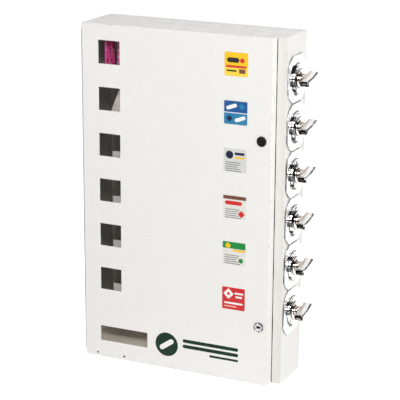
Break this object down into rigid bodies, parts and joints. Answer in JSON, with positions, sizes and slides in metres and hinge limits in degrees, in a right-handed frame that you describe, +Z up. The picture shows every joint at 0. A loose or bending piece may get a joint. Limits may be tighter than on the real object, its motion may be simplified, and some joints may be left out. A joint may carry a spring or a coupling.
{
  "type": "restroom vending machine",
  "caption": "Wall-hung sheet-steel vending cabinet with a hinged front door, product windows, a delivery slot and chromed coin mechanisms whose handles turn wire coils.",
  "frame": {"origin": "centre of the cabinet's flat wall face", "axes": "+X to the viewer's right, +Y into the wall, +Z up, so the door faces -Y"},
  "size_m": [0.4469, 0.1165, 0.6604],
  "materials": {
    "paint": "semi-gloss off-white",
    "chrome": "polished",
    "black_lock": "satin black",
    "zinc": "zinc plated",
    "wire": "drawn wire",
    "clear_strip": "clear acrylic",
    "card_print": "printed card",
    "foil": "crinkled foil film"
  },
  "bodies": {
    "cabinet": {"cabinet_shell": "paint", "back_panel": "paint", "drop_chute": "paint", "delivery_bin": "paint", "coin_channel": "paint", "tray_1": "paint", "tray_2": "paint", "tray_3": "paint", "tray_4": "paint", "tray_5": "paint", "tray_6": "paint", "mech_plate_1": "chrome", "mech_plate_2": "chrome", "mech_plate_3": "chrome", "mech_plate_4": "chrome", "mech_plate_5": "chrome", "mech_plate_6": "chrome", "tray_rivets": "zinc", "mech_nuts": "zinc", "hinge_cabinet_leaf": "zinc", "hinge_pin": "zinc", "coin_box": "zinc", "mech_housing_1": "zinc", "mech_housing_2": "zinc", "mech_housing_3": "zinc", "mech_housing_4": "zinc", "mech_housing_5": "zinc", "mech_housing_6": "zinc", "stock_packs": "foil"},
    "door": {"door_panel": "paint", "window_glazing": "clear_strip", "glazing_rails": "zinc", "product_cards": "card_print", "hinge_door_leaf": "zinc", "upper_lock_barrel": "black_lock", "lower_lock_barrel": "chrome", "lock_nuts": "zinc", "door_rivets": "black_lock"},
    "upper_lock": {"upper_lock_plug": "black_lock", "upper_lock_cam": "zinc"},
    "lower_lock": {"lower_lock_plug": "chrome", "lower_lock_cam": "zinc"},
    "vend_1": {"handle_1": "chrome", "spindle_1": "zinc", "coil_1": "wire"},
    "vend_2": {"handle_2": "chrome", "spindle_2": "zinc", "coil_2": "wire"},
    "vend_3": {"handle_3": "chrome", "spindle_3": "zinc", "coil_3": "wire"},
    "vend_4": {"handle_4": "chrome", "spindle_4": "zinc", "coil_4": "wire"},
    "vend_5": {"handle_5": "chrome", "spindle_5": "zinc", "coil_5": "wire"},
    "vend_6": {"handle_6": "chrome", "spindle_6": "zinc", "coil_6": "wire"}
  },
  "joints": [
    {"name": "door_hinge", "type": "hinge", "parent": "cabinet", "child": "door", "pos_m": [-0.2061, -0.09565, 0], "axis": [0, 0, -1], "range_deg": [0, 165]},
    {"name": "upper_lock_turn", "type": "hinge", "parent": "door", "child": "upper_lock", "pos_m": [0.1648, -0.1, 0.1411], "axis": [0, 1, 0], "range_deg": [0, 90]},
    {"name": "lower_lock_turn", "type": "hinge", "parent": "door", "child": "lower_lock", "pos_m": [0.1648, -0.1, -0.2149], "axis": [0, 1, 0], "range_deg": [0, 90]},
    {"name": "handle_turn_1", "type": "hinge", "parent": "cabinet", "child": "vend_1", "pos_m": [0.2, -0.05025, 0.2498], "axis": [1, 0, 0], "continuous": true},
    {"name": "handle_turn_2", "type": "hinge", "parent": "cabinet", "child": "vend_2", "pos_m": [0.2, -0.05025, 0.1609], "axis": [1, 0, 0], "continuous": true},
    {"name": "handle_turn_3", "type": "hinge", "parent": "cabinet", "child": "vend_3", "pos_m": [0.2, -0.05025, 0.072], "axis": [1, 0, 0], "continuous": true},
    {"name": "handle_turn_4", "type": "hinge", "parent": "cabinet", "child": "vend_4", "pos_m": [0.2, -0.05025, -0.0169], "axis": [1, 0, 0], "continuous": true},
    {"name": "handle_turn_5", "type": "hinge", "parent": "cabinet", "child": "vend_5", "pos_m": [0.2, -0.05025, -0.1058], "axis": [1, 0, 0], "continuous": true},
    {"name": "handle_turn_6", "type": "hinge", "parent": "cabinet", "child": "vend_6", "pos_m": [0.2, -0.05025, -0.1947], "axis": [1, 0, 0], "continuous": true}
  ]
}
